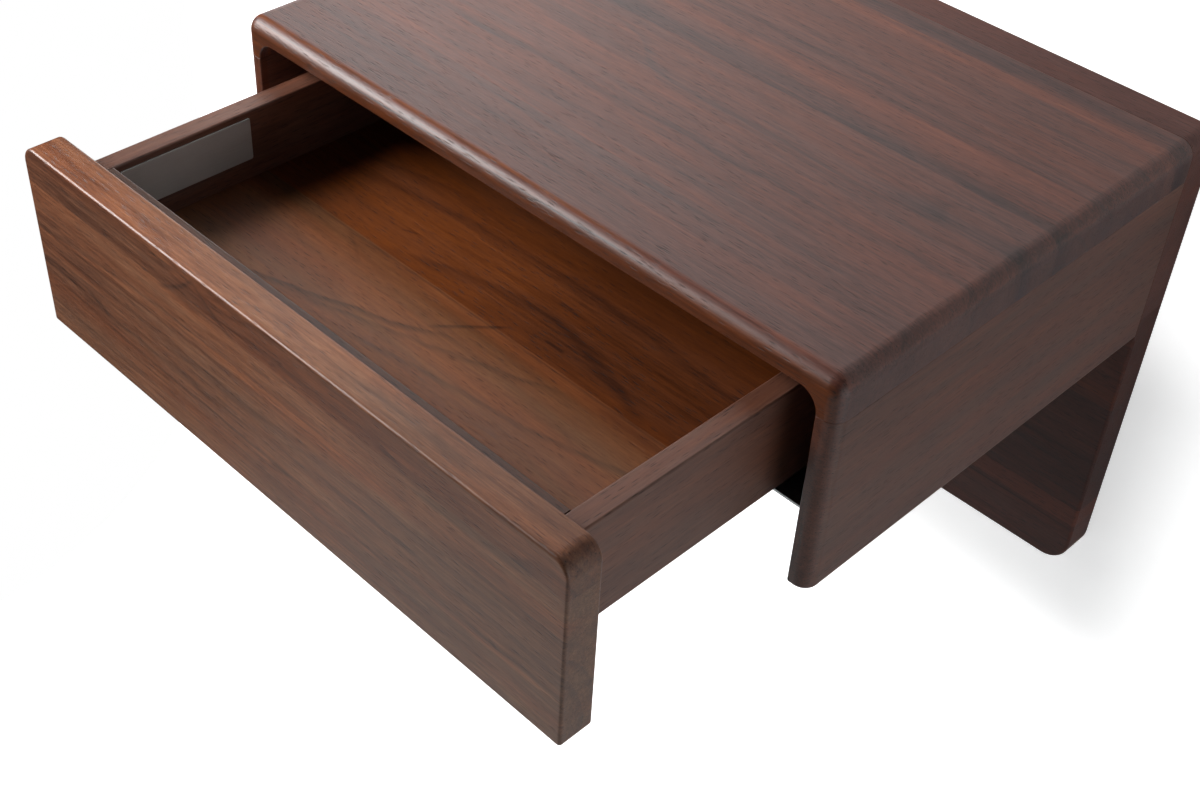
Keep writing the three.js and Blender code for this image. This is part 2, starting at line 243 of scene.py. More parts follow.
def rectangle(u0, u1, v0, v1):
    """Corners of an upright rectangle, anticlockwise."""
    return [(u0, v0), (u1, v0), (u1, v1), (u0, v1)]


# Shader nodes


class Tree:
    """Adds nodes to one shader tree; an input is a value or the output that feeds it.

    Times multiplies two values, and adds a third if one is given. Sway turns a mask around one half
    into plus or minus half an amount, on top of another value.
    """

    def __init__(self, tree):
        self.tree = tree

    def add(self, kind, inputs=None, output=0, **settings):
        node = self.tree.nodes.new(f"ShaderNode{kind}")
        for key, value in settings.items():
            setattr(node, key, value)
        for key, value in (inputs or {}).items():
            if isinstance(value, bpy.types.NodeSocket):
                self.tree.links.new(value, node.inputs[key])
            else:
                node.inputs[key].default_value = value
        return node.outputs[output] if output is not None else node

    def group(self, group, inputs):
        return self.add("Group", inputs, None, node_tree=group).outputs

    def math(self, operation, *values):
        return self.add("Math", dict(enumerate(values)), operation=operation)

    def times(self, *values):
        return self.math("MULTIPLY_ADD" if len(values) > 2 else "MULTIPLY", *values)

    def sway(self, mask, amount, onto=0.0):
        return self.times(self.math("SUBTRACT", mask, 0.5), amount, onto)

    def vector(self, operation, *values, output=0):
        return self.add("VectorMath", dict(enumerate(values)), output, operation=operation)

    def mix(self, factor, first, second, blend="MIX"):
        inputs = {0: factor, 6: first, 7: second}
        return self.add("Mix", inputs, 2, data_type="RGBA", blend_type=blend)

    def smooth(self, value, low, high, to_low=0.0, to_high=1.0):
        inputs = {0: value, 1: low, 2: high, 3: to_low, 4: to_high}
        return self.add("MapRange", inputs, interpolation_type="SMOOTHSTEP")

    def noise(self, place, stretch, seed, detail=2.0, roughness=0.5):
        inputs = {"Vector": self.vector("MULTIPLY", place, stretch), "W": seed, "Scale": 1.0,
                  "Detail": detail, "Roughness": roughness}
        return self.add("TexNoise", inputs, "Fac", noise_dimensions="4D")

    def ramp(self, value, stops, interpolation="LINEAR"):
        node = self.add("ValToRGB", {0: value}, None)
        ramp = node.color_ramp
        ramp.interpolation = interpolation
        ramp.elements[1].position = stops[1][0]
        for position, _ in stops[2:]:
            ramp.elements.new(position)
        for element, (_, colour) in zip(ramp.elements, stops):
            element.color = (*colour, 1.0)
        return node.outputs[0]

    def millimetres(self):
        position = self.add("TexCoord", None, "Object")
        return self.vector("MULTIPLY", position, (1000.0, 1000.0, 1000.0))

    def feed(self, node, sockets):
        for label, output in sockets.items():
            self.tree.links.new(output, node.inputs[label])

    def coat(self, shader, colour, roughness, height, bump, depth):
        relief = self.add("Bump", {"Strength": bump, "Distance": depth, "Height": height})
        self.feed(shader, {"Base Color": colour, "Roughness": roughness, "Normal": relief})


def new_group(name, inputs, outputs):
    """An empty node group, its tree helper, its input node's outputs and its output node."""
    tree = bpy.data.node_groups.new(name, "ShaderNodeTree")
    for label, kind, value in inputs:
        socket = tree.interface.new_socket(label, in_out="INPUT", socket_type=f"NodeSocket{kind}")
        socket.default_value = value
    for label, kind in outputs:
        tree.interface.new_socket(label, in_out="OUTPUT", socket_type=f"NodeSocket{kind}")
    source = tree.nodes.new("NodeGroupInput")
    sink = tree.nodes.new("NodeGroupOutput")
    return tree, Tree(tree), source.outputs, sink


def grain_group():
    """Figure of sawn walnut, in millimetres with the grain along X.

    Growth rings are shells round a pith line: the distance from the line, plus a slow wander along
    the tree and the lift of knots, divided by the ring width. Each ring darkens towards its late
    wood by its own random strength. Streaks and fibres are noise drawn out along the grain. Pores
    are drawn-out cells that open in patches, or the peaks of a fine noise.
    """
    tree, t, given, sink = new_group(
        "walnut_grain",
        [("Place", "Vector", (0, 0, 0)), ("Seed", "Float", 0.0), ("Pith", "Vector", (0, 0, 60)),
         ("Ring width", "Float", 7.0), ("Wander", "Float", 9.0), ("Lift", "Float", 0.0)],
        [("Rings", "Float"), ("Streak", "Float"), ("Fibre", "Float"), ("Pores", "Float")],
    )
    place, seed = given["Place"], given["Seed"]
    slow = t.noise(place, (0.0045, 0.012, 0.004), seed, 2.0)
    quick = t.noise(place, (0.018, 0.05, 0.03), seed, 3.0)
    across = t.vector("MULTIPLY", t.vector("SUBTRACT", place, given["Pith"]), (0.0, 1.0, 1.0))
    distance = t.vector("LENGTH", across, output=1)
    total = t.sway(slow, t.times(given["Wander"], 4.0), distance)
    total = t.sway(quick, t.times(given["Wander"], 1.1), total)
    count = t.math("DIVIDE", t.math("ADD", total, given["Lift"]), given["Ring width"])
    part = t.math("FRACT", count)
    number = t.math("ADD", t.math("FLOOR", count), t.times(seed, 31.0))
    strength = t.add("TexWhiteNoise", {"W": number}, "Value", noise_dimensions="1D")
    late = t.math("POWER", t.smooth(part, 0.25, 0.90), 2.2)
    late = t.times(late, t.smooth(part, 0.90, 0.99, 1.0, 0.0))
    depth = t.times(t.math("POWER", strength, 1.5), 0.9, 0.1)
    rings = t.times(late, depth)
    streak = t.noise(place, (0.0045, 0.07, 0.03), seed, 5.0, 0.62)
    fibre = t.noise(place, (0.035, 0.75, 0.75), seed, 4.0, 0.8)
    drawn = t.vector("MULTIPLY", place, (0.09, 0.85, 0.85))
    cells = t.add("TexVoronoi", {"Vector": drawn, "Scale": 1.0, "Randomness": 1.0}, "Distance")
    fleck = t.noise(place, (0.10, 1.1, 1.1), seed, 2.0, 0.6)
    patch = t.noise(place, (0.02, 0.16, 0.16), seed, 2.0)
    holes = t.times(t.smooth(cells, 0.08, 0.30, 1.0, 0.0), t.smooth(patch, 0.25, 0.55))
    pores = t.math("MAXIMUM", holes, t.smooth(fleck, 0.58, 0.74, 0.0, 0.6))
    t.feed(sink, {"Rings": rings, "Streak": streak, "Fibre": fibre, "Pores": pores})
    return tree


def mark_group():
    """A dark or pale line or patch on a board, in its own millimetres: mostly the wood's figure,
    and on some boards painted shade and painted highlights.

    Its middle runs at Across plus Rise times t plus Bow times t squared, t from halfway between its
    ends, and wavers by slow noise. It fades out over Above and Below, and round its two ends.
    """
    tree, t, given, sink = new_group(
        "walnut_mark",
        [("Place", "Vector", (0, 0, 0)), ("Start", "Float", 0.0), ("End", "Float", 1.0),
         ("Across", "Float", 0.0), ("Rise", "Float", 0.0), ("Bow", "Float", 0.0),
         ("Above", "Float", 1.0), ("Below", "Float", 1.0), ("Waver", "Float", 0.0)],
        [("Mask", "Float")],
    )
    spot = t.add("SeparateXYZ", {0: given["Place"]}, None).outputs
    middle = t.times(t.math("ADD", given["Start"], given["End"]), 0.5)
    way = t.math("SUBTRACT", spot["X"], middle)
    centre = t.times(given["Rise"], way, given["Across"])
    centre = t.times(t.times(way, way), given["Bow"], centre)
    drift = t.noise(given["Place"], (0.022, 0.004, 0.0), given["Across"], 3.0)
    centre = t.sway(drift, t.times(given["Waver"], 3.0), centre)
    off = t.math("SUBTRACT", spot["Y"], centre)
    above = t.smooth(t.math("DIVIDE", off, given["Above"]), 0.0, 1.0, 1.0, 0.0)
    below = t.smooth(t.math("DIVIDE", off, given["Below"]), -1.0, 0.0)
    fade = t.times(t.math("SUBTRACT", given["End"], given["Start"]), 0.16)
    from_start = t.math("SUBTRACT", spot["X"], given["Start"])
    from_end = t.math("SUBTRACT", given["End"], spot["X"])
    near = t.smooth(t.math("DIVIDE", from_start, fade), -1.0, 1.0)
    far = t.smooth(t.math("DIVIDE", from_end, fade), -1.0, 1.0)
    mask = t.times(t.math("MINIMUM", above, below), t.times(near, far))
    t.feed(sink, {"Mask": mask})
    return tree


def finish_group():
    """Colour, roughness and height of oiled walnut from its figure.

    The level starts at the plank's own tone, rises and falls with the streaks and fibres, each by
    its depth, and drops at late wood and pores. A ramp of walnut browns turns it into colour. The
    warmth, clouded by noise, pushes that towards orange above one half and towards grey below it,
    and the tint is the board's own cast. Rounded edges get a painted highlight, a little lighter,
    and a little more roughness.
    """
    tree, t, given, sink = new_group(
        "walnut_finish",
        [("Place", "Vector", (0, 0, 0)), ("Seed", "Float", 0.0), ("Tone", "Float", 0.5),
         ("Warmth", "Float", 0.5), ("Rings", "Float", 0.0), ("Streak", "Float", 0.5),
         ("Fibre", "Float", 0.5), ("Pores", "Float", 0.0), ("Ring depth", "Float", 0.25),
         ("Streak depth", "Float", 0.5), ("Fibre depth", "Float", 0.75), ("Painted edge highlight", "Float", 0.05),
         ("Roughness", "Float", 0.4), ("Tint", "Color", (1, 1, 1, 1))],
        [("Color", "Color"), ("Roughness", "Float"), ("Height", "Float")],
    )
    place, seed = given["Place"], given["Seed"]
    level = t.sway(given["Streak"], given["Streak depth"], given["Tone"])
    level = t.sway(given["Fibre"], given["Fibre depth"], level)
    level = t.math("SUBTRACT", level, t.times(given["Rings"], given["Ring depth"]))
    level = t.times(given["Pores"], -0.30, level)
    bend = t.add("NewGeometry", None, "Pointiness")
    # Convex edges: a painted highlight in the colour, and a little more roughness
    painted_edge_highlight = t.smooth(bend, 0.505, 0.60)
    level = t.times(painted_edge_highlight, given["Painted edge highlight"], level)
    brown = t.ramp(level, [
        (0.00, (0.018, 0.006, 0.004)), (0.22, (0.055, 0.019, 0.010)), (0.45, (0.115, 0.041, 0.021)),
        (0.65, (0.180, 0.067, 0.033)), (0.85, (0.260, 0.105, 0.052)), (1.00, (0.340, 0.150, 0.080)),
    ])
    cloud = t.noise(place, (0.006, 0.08, 0.08), t.math("ADD", seed, 9.0), 4.0)
    warmth = t.sway(cloud, 1.7, given["Warmth"])
    grey = t.mix(t.smooth(warmth, -1.2, -0.2), (0.58, 1.05, 1.75, 1), (0.86, 1.05, 1.22, 1))
    orange = t.mix(t.smooth(warmth, 1.0, 2.0), (1.14, 0.95, 0.80, 1), (1.20, 0.81, 0.20, 1))
    push = t.mix(t.smooth(warmth, 0.0, 1.0), grey, orange)
    colour = t.mix(1.0, t.mix(1.0, brown, push, "MULTIPLY"), given["Tint"], "MULTIPLY")
    rough = t.times(given["Pores"], 0.12, given["Roughness"])
    rough = t.sway(given["Fibre"], 0.15, rough)
    rough = t.times(given["Rings"], -0.04, rough)
    rough = t.times(painted_edge_highlight, 0.05, rough)
    waves = t.noise(place, (0.02, 0.06, 0.06), seed, 1.0)
    height = t.times(given["Pores"], -0.7, t.times(given["Fibre"], 0.6))
    height = t.times(waves, 1.6, height)
    t.feed(sink, {"Color": colour, "Roughness": rough, "Height": height})
    return tree


GRAIN = grain_group()
MARK = mark_group()
FINISH = finish_group()


def new_material(name):
    """A material with its tree helper and its shader."""
    material = bpy.data.materials.new(name)
    material.use_nodes = True
    nodes = material.node_tree.nodes
    return material, Tree(material.node_tree), nodes["Principled BSDF"]


def laid(along_grain, across_grain):
    """The turn that brings two axes of the object to the X and Y of a board's own place."""
    first, second = Vector(along_grain), Vector(across_grain)
    return Matrix((first, second, first.cross(second))).to_euler()


MARK_LINE = ("Start", "End", "Across", "Rise", "Bow", "Above", "Below", "Waver")


# The edge amount sets how much lighter rounded edges are painted, as a painted highlight
def walnut(name, turn, planks, seed, pith, ring=7.0, wander=4.0, depth=0.10, streak=0.30,
           fibre=0.75, tint=(1, 1, 1), knots=(), marks=(), bump=0.35, painted_edge_highlight=0.05, rough=0.4,
           gloss=0.5):
    """A walnut board glued up from planks, with its grain turned along X of its own place.

    Planks are (far edge across the grain, tone, warmth), the edges rising from the first one. Every
    plank gets a seed and a pith line of its own, so that no figure runs over a glue line. Knots
    (along, across, reach, lift) raise the rings round them. Marks are (start, end, across, rise,
    bow, above, below, waver, strength, warmth): the mark group's line, and what it adds to tone and
    warmth.
    """
    material, t, shader = new_material(name)
    position = t.add("TexCoord", None, "Object")
    place = t.add("Mapping", {"Vector": position, "Rotation": turn, "Scale": (1000, 1000, 1000)})
    if len(planks) > 2:
        low, high = planks[0][0], planks[-1][0]
        across = t.add("SeparateXYZ", {0: place}, "Y")
        share = t.add("MapRange", {0: across, 1: low, 2: high})
        stops, start = [], 0.0
        for number, (edge, tone, warmth) in enumerate(planks[1:]):
            stops.append((start, (tone, warmth, (number * 0.37 + 0.13) % 1.0)))
            start = (edge - low) / (high - low)
        plank = t.add("SeparateColor", {0: t.ramp(share, stops, "CONSTANT")}, None).outputs
        tone, warmth, draw = plank["Red"], plank["Green"], plank["Blue"]
    else:
        _, tone, warmth = planks[1]
        draw = t.add("Value", None, 0)
        draw.default_value = 0.5
    plank_seed = t.times(draw, 19.0, seed)
    own = t.math("SUBTRACT", draw, 0.5)
    own_pith = t.vector("MULTIPLY_ADD", t.add("CombineXYZ", {1: own, 2: own}), (0, 110, 30), pith)
    lift = 0.0
    for along_grain, across_grain, reach, height in knots:
        shift = t.vector("SUBTRACT", place, (along_grain, across_grain, 0.0))
        shift = t.vector("MULTIPLY", shift, (0.35 / reach, 1.0 / reach, 0.0))
        near = t.smooth(t.vector("LENGTH", shift, output=1), 0.0, 1.0, height, 0.0)
        lift = t.math("ADD", lift, near)
    for *line, strength, warm in marks:
        mask = t.group(MARK, {"Place": place, **dict(zip(MARK_LINE, line))})["Mask"]
        tone = t.times(mask, strength, tone)
        warmth = t.times(mask, warm, warmth)
    grain = t.group(GRAIN, {"Place": place, "Seed": plank_seed, "Pith": own_pith,
                            "Ring width": ring, "Wander": wander, "Lift": lift})
    figure = {label: grain[label] for label in ("Rings", "Streak", "Fibre", "Pores")}
    finish = t.group(FINISH, {"Place": place, "Seed": plank_seed, "Tone": tone, "Warmth": warmth,
                              "Ring depth": depth, "Streak depth": streak, "Fibre depth": fibre,
                              "Painted edge highlight": painted_edge_highlight, "Roughness": rough, "Tint": (*tint, 1.0), **figure})
    shader.inputs["Specular IOR Level"].default_value = gloss
    t.coat(shader, finish["Color"], finish["Roughness"], finish["Height"], bump, 0.0003)
    return material


def metal(name, colour, roughness, stretch, bump, metallic=1.0):
    """Sheet metal: a plain colour clouded by noise, and fine scratches drawn out by the stretch."""
    material, t, shader = new_material(name)
    place = t.millimetres()
    cloud = t.noise(place, (0.05, 0.05, 0.05), 3.0, 3.0)
    hair = t.noise(place, stretch, 1.0, 3.0, 0.7)
    dull, bright = (tuple(share * c for c in colour) for share in (0.86, 1.08))
    tone = t.mix(t.smooth(cloud, 0.3, 0.7), (*dull, 1.0), (*colour, 1.0))
    tone = t.mix(t.smooth(hair, 0.25, 0.75), tone, (*bright, 1.0))
    shader.inputs["Metallic"].default_value = metallic
    t.coat(shader, tone, t.sway(hair, 0.3, roughness), hair, bump, 0.0001)
    return material


def plain(name, colour, dark, roughness, grain, bump):
    """A moulded or bare surface: two near colours mixed by noise, which roughens and dents it."""
    material, t, shader = new_material(name)
    speck = t.noise(t.millimetres(), grain, 2.0, 3.0, 0.6)
    tone = t.mix(t.smooth(speck, 0.3, 0.7), (*dark, 1.0), (*colour, 1.0))
    t.coat(shader, tone, t.sway(speck, 0.2, roughness), speck, bump, 0.0001)
    return material


FLAT = laid((1, 0, 0), (0, 1, 0))
STANDING = laid((1, 0, 0), (0, 0, 1))
SIDEWAYS = laid((0, 1, 0), (0, 0, 1))

# Planks go from the front edge to the wall on flat boards, and from the foot up on standing ones
walnut_top = walnut(
    "walnut_top", FLAT,
    [(-302.0,), (-251.0, 0.47, 0.45), (-182.0, 0.50, 0.62), (-145.0, 0.48, 0.55),
     (-93.0, 0.46, 0.50), (-49.5, 0.46, 0.52), (-40.0, 0.54, 0.80), (0.0, 0.44, 0.45)],
    seed=2.0, pith=(0, -165, 70), ring=6.5, wander=3.5, depth=0.13, streak=0.42, fibre=1.0,
    tint=(0.86, 0.84, 1.15), bump=0.5, rough=0.44, gloss=0.55,
    knots=[(172, -156, 30, 14), (-82, -160, 34, 15)],
    marks=[
        (-230, 230, -32, 0, 0, 9, 7, 3, -0.13, -0.30),
        (-230, 230, -142, 0, 0, 18, 2.5, 2, -0.13, -0.35),
        (-230, 120, -97, 0.01, 0, 4, 4, 3, -0.13, -0.15),
        (-60, 230, -106.5, 0, 0, 1.2, 1.0, 1.5, -0.10, 0.0),
        (-230, 230, -117, 0, 0, 8, 7, 3, 0.07, 0.35),
        (-140, 90, -86, -0.02, 0, 4, 3, 3, 0.04, 0.20),
        (-150, 230, -211, 0.02, 0, 6, 3.5, 4, -0.11, -0.25),
        (130, 230, -172, 0, 0, 10, 8, 3, -0.13, -0.45),
        (-230, 230, -45, 0, 0, 5, 4, 2, 0.06, 0.35),
        (60, 170, -272, 0, 0, 22, 22, 2, 0.06, 0.15),
        # Painted light on the front round: a darker, warmer lower half as painted shade, and pale,
        # warm lines just behind the highlight as a painted highlight
        (-230, 230, -303, 0, 0, 6.0, 4, 0.6, -0.10, 2.20),
        (-230, 210, -295.3, 0, 0, 1.6, 2.2, 0.4, 0.10, 0.40),
        (-300, 90, -296.2, 0, 0, 1.8, 2.6, 0.4, 0.04, 1.30),
        (-120, 90, -300.6, 0.003, 0, 0.4, 0.4, 0.6, -0.22, 0.0),
        (-230, -20, -299.4, -0.002, 0, 0.3, 0.4, 0.6, -0.20, 0.0),
        (202.4, 205.0, -150, 0, 0, 400, 400, 0, -0.05, -0.9),
        (-205.0, -202.4, -150, 0, 0, 400, 400, 0, -0.05, -0.9),
        (197.5, 202.0, -150, 0, 0, 400, 400, 0, -0.10, 0.30),
    ],
)
# The planks below the carcase's foot are darker mostly as painted shade under the carcase, and
# partly by the wood's own tone; the plank hidden behind the carcase is lighter
walnut_back = walnut(
    "walnut_back", STANDING,
    [(-151.0,), (-118.0, 0.30, 0.60), (-105.0, 0.38, 0.90), (-26.0, 0.18, 0.60),
     (40.0, 0.23, 1.10), (151.0, 0.50, 0.20)],
    seed=7.0, pith=(0, -40, -60), depth=0.08, streak=0.32, fibre=0.5, tint=(0.95, 0.84, 1.10),
    gloss=0.2,
    marks=[(-230, 230, -121, 0, 0, 1, 1, 1, -0.15, 0.0)],
)
walnut_front = walnut(
    "walnut_front", STANDING,
    [(27.0,), (116.0, 0.68, 0.55), (137.0, 0.56, 0.66)],
    seed=11.0, pith=(0, 80, 500), ring=8.0, wander=5.0, depth=0.16, streak=0.46, fibre=1.30,
    tint=(0.98, 1.04, 1.03), bump=0.5,
    knots=[(130, 114, 22, 10), (-45, 134, 16, 12), (-140, 69, 10, 4)],
    marks=[
        (-230, 120, 98.6, 0.035, -0.00035, 1.2, 10, 1, 0.07, 0.15),
        (-230, 120, 99.8, 0.035, -0.00035, 4, 1, 1, -0.06, -0.05),
        # Lighter top face of the drawer front: partly paler wood, partly painted light on the
        # upward face, lightest on the left
        (-230, 60, 136.2, 0, 0, 3, 1.6, 0, 0.18, 0.10),
        (0, 300, 136.2, 0, 0, 3, 1.6, 0, 0.08, 0.0),
        (-80, -50, 121, 0.62, 0.01, 1.6, 3.0, 0.5, -0.14, -0.15),
        (-49, -22, 122, -0.55, 0.01, 1.6, 3.0, 0.5, -0.14, -0.15),
        (-95, -62, 128, 0.25, 0, 2.0, 4.0, 0.5, -0.08, -0.10),
        (-150, 210, 58, 0, 0, 3.2, 2.0, 2.6, -0.15, -0.20),
        (-120, 120, 53.5, 0, 0, 1.6, 1.2, 2.6, -0.10, -0.10),
        (92, 180, 55.0, 0.02, 0, 2.5, 3.5, 0, 0.13, 0.30),
        (-148, -132, 69, -0.2, 0, 2.2, 3.0, 0, -0.16, -0.20),
        (-8, 4, 110, 0, 0, 2.0, 2.2, 0, -0.14, -0.20),
        (-2, 12, 56, 0.1, 0, 2.2, 2.2, 0, -0.16, -0.20),
        (-196, -166, 97, 0.1, 0, 3.5, 4.5, 0, -0.12, -0.10),
        (106, 164, 114, 0.05, 0, 4, 4, 1, -0.12, -0.60),
        (70, 330, 80, 0, 0, 90, 90, 0, -0.08, -0.35),
        (150, 230, 34, 0.1, 0, 10, 8, 1, -0.10, -0.30),
        (-330, -120, 80, 0, 0, 90, 90, 0, -0.12, 0.0),
        (-215, -75, 121.5, 0, 0, 4, 4, 0, 0.12, 0.10),
        (-190, 45, 112, -0.01, 0, 7, 13, 1, 0.13, 0.0),
        (-20, 140, 35, 0, 0, 24, 20, 0, -0.08, -0.25),
    ],
)
walnut_floor = walnut(
    "walnut_floor", FLAT,
    [(-450.0,), (-325.0, 0.68, 0.58), (-160.0, 0.50, 1.60)],
    seed=4.0, pith=(0, -300, 200), ring=16.0, wander=9.0, streak=0.34, tint=(1.0, 0.93, 0.66),
    painted_edge_highlight=0.0,
    marks=[
        (-130, 150, -271.5, 0.017, -0.00066, 3.4, 7.0, 1.6, -0.14, -0.05),
        (-60, 110, -300, 0, -0.0028, 3.4, 8.5, 2.4, -0.14, -0.05),
        (-140, -60, -266, 0.22, 0, 2.0, 4.0, 1.0, -0.10, 0),
        (-60, 120, -288, 0.02, -0.0008, 2.0, 3.0, 2.0, -0.07, 0),
        (-120, 0, -296, 0.05, 0, 8, 8, 2.0, 0.07, 0.10),
        (42, 54, -313, 0, 0, 1.4, 1.6, 0, -0.25, 0),
        (-72, -64, -304, 0.4, 0, 1.2, 1.4, 0, -0.18, 0),
        (-105, 5, -369, 0.34, 0.0006, 1.8, 5.0, 4.0, -0.22, -0.20),
        (-2, 22, -333, 1.05, 0, 2.0, 4.0, 1.0, -0.22, -0.20),
        (-60, 72, -357, 0.31, 0, 1.8, 4.0, 4.0, -0.14, -0.15),
        (-25, 95, -369, 0.16, 0, 1.8, 3.6, 3.0, -0.13, -0.15),
        (85, 150, -353, 0.24, 0, 1.8, 4.0, 2.5, -0.14, -0.15),
        (-90, -66, -332, -0.55, 0, 1.8, 3.0, 1.0, -0.09, 0),
        (95, 140, -329, 0, 0, 3, 5, 0.5, -0.10, -0.10),
        (-170, 170, -325.4, 0, 0, 0.6, 1.4, 0, -0.16, -0.10),
        (-118, -45, -317, 0, 0, 9, 8, 2, 0.10, 0.10),
        # Painted shade: a broad darkening over the back right of the floor
        (20, 230, -300, 0, 0, 70, 50, 0, -0.17, 0.0),
        # Painted shade: the soft shadow of the left box side on the front plank
        (-170, -50, -362, 0, 0, 24, 30, 0, -0.14, 0.0),
    ],
)
walnut_right, walnut_left = (
    walnut(name, SIDEWAYS, [(0.0,), (1.0, 0.46, 0.40)], seed=seed, pith=(0, 60, out), depth=0.12,
           streak=0.36, fibre=0.8, tint=(0.98, 1.02, 1.20),
           marks=[(-306.0, -298.0, 80, 0, 0, 400, 400, 0, -0.12, 0.60)])
    for name, seed, out in (("walnut_right", 5.0, 120), ("walnut_left", 6.0, -120))
)
walnut_box_side = walnut(
    "walnut_box_side", SIDEWAYS, [(0.0,), (1.0, 0.55, 0.42)], seed=8.0, pith=(0, 90, 60),
    ring=5.0, wander=3.0, tint=(0.94, 1.03, 1.26), painted_edge_highlight=0.0,
)
walnut_box_cross = walnut(
    "walnut_box_cross", STANDING, [(0.0,), (1.0, 0.33, 0.20)], seed=9.0, pith=(0, 90, 300),
    ring=5.0, wander=3.0, painted_edge_highlight=0.0,
)
zinc_steel = metal("zinc_steel", (0.42, 0.44, 0.44), 0.38, (0.5, 0.05, 0.5), 0.1)
brushed_plate = metal("brushed_plate", (0.52, 0.53, 0.52), 0.50, (1.0, 0.06, 4.0), 0.25, 0.55)
grey_plastic = plain("grey_plastic", (0.10, 0.105, 0.11), (0.07, 0.072, 0.076), 0.5, (2, 2, 2), 0.2)
beech = plain("beech", (0.56, 0.35, 0.18), (0.45, 0.27, 0.13), 0.6, (0.5, 0.05, 0.5), 0.2)

# Carcase

top_low, top_high = corners_of("top_panel")
HALF, BACK, TOP = top_high
FRONT, JOINT = top_low[1:]
OPENING, _, FOOT = corners_of("right_side_panel")[0]
CEILING = TOP - (HALF - OPENING)


def top_panel():
    """The bent top: a closed section, from wall to front and back inside, carried along a path.

    The path runs from the right joint up the leg, round the corner, over the top and down again. At
    each point of it the section's outer points lie on the outer line, moved inwards along the
    front round by its radius times one minus cosine, and its inner points on the inner line. A
    small lip, drawn in towards the section's middle, eases each joint.
    """
    leg, flat = np.linspace(0, 1, 64), np.array([0.002, *np.linspace(0.02, 0.98, 25), 0.998])

    def line(half, top, corner, side, inset):
        inset = inset * side
        radius = max(corner - inset, SMALLEST_RADIUS)
        centre = np.array([half - inset - radius, top - inset - radius])
        straight = centre[1] - JOINT
        way = leg * (straight + radius * QUARTER)
        turn = np.clip((way - straight) / radius, 0, QUARTER)
        x = centre[0] + radius * np.cos(turn)
        z = np.where(way < straight, JOINT + way, centre[1] + radius * np.sin(turn))
        right = np.stack([x, z], 1)
        over = centre[0] - 2 * centre[0] * flat
        middle = np.stack([over, np.full(len(flat), centre[1] + radius)], 1)
        return np.vstack([right, middle, right[::-1] * (-1, 1)])

    outer, inner = (HALF, TOP, TOP_CORNER, 1), (OPENING, CEILING, INSIDE_CORNER, -1)
    section = [
        (outer, SEAM_EASE, BACK), (outer, 0.0, BACK - SEAM_EASE),
        (outer, 0.0, BACK - SEAM_EASE - SUPPORT), (outer, 0.0, FRONT + FRONT_ROUND + SUPPORT),
    ]
    for rule, size, turns in ((outer, FRONT_ROUND, np.linspace(0, QUARTER, ROUND_STEPS + 1)),
                              (inner, OPENING_EASE, np.linspace(QUARTER, 0, OPENING_STEPS + 1))):
        for turn in turns:
            section.append((rule, size * (1 - math.cos(turn)), FRONT + size * (1 - math.sin(turn))))
    section += [(inner, 0.0, FRONT + OPENING_EASE + SUPPORT), (inner, 0.0, BACK)]
    rings = np.stack([facing_back(line(*rule, inset), y) for rule, inset, y in section], 1)
    for end in (0, -1):
        lip = rings[end].copy()
        middle = lip.mean(0)
        lip += (middle - lip) * (SEAM_EASE * 2 / np.abs(lip - middle).clip(1.0))
        lip[:, 2] = JOINT
        rings[end][:, 2] = JOINT + SEAM_EASE
        rings = np.concatenate([[lip], rings]) if end == 0 else np.concatenate([rings, [lip]])
    return link_rings(rings)


top = piece("top_board", "carcase", [top_panel()], walnut_top)
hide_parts("top_panel")


def side_board(sign):
    """A side: a plan with the wide round at its outer front, from an eased foot to the joint."""
    corners = np.array([(OPENING, FRONT), (HALF, FRONT), (HALF, BACK), (OPENING, BACK)])
    radii = np.array([OPENING_EASE, FRONT_ROUND, SEAM_EASE, SEAM_EASE])
    if sign < 0:
        corners = (corners * (-1, 1))[::-1]
        radii = radii[::-1]
    return board("Z", corners, radii, FOOT, JOINT, FOOT_EASE, SEAM_EASE, corner_steps=ROUND_STEPS)


for side, sign, material in (("right", 1, walnut_right), ("left", -1, walnut_left)):
    made = piece(f"{side}_side_board", "carcase", [side_board(sign)], material)
    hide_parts(f"{side}_side_panel")


def stadium(width, height, x, z):
    """Upright round-ended outline in X and Z: four arcs a hair under half its width."""
    corners = rectangle(x - width / 2, x + width / 2, z - height / 2, z + height / 2)
    return outline(corners, width / 2 - 0.01, steps=10, support=0.005)


# Keyhole hangers, let into the back panel over deeper pockets
HANGER_INSET, HANGER_DROP, HANGER_WIDTH, HANGER_HEIGHT = 43.0, 38.0, 18.0, 42.0
HANGER_SHEET, HANGER_GAP, HOLE_RADIUS, SLOT_HALF, SLOT_LENGTH = 2.0, 0.3, 5.0, 2.3, 15.0
HANGER_SCREWS, SCREW_DEPTH, SCREW_RADIUS, SCREW_HEIGHT = (-16.6, 15.6), 0.32, 2.6, 0.28
POCKET_DEPTH, POCKET_WIDTH = 10.0, 13.0
HANGER_LEVEL = TOP - HANGER_DROP
HANGER_PLACES = (HANGER_INSET - HALF, HALF - HANGER_INSET)


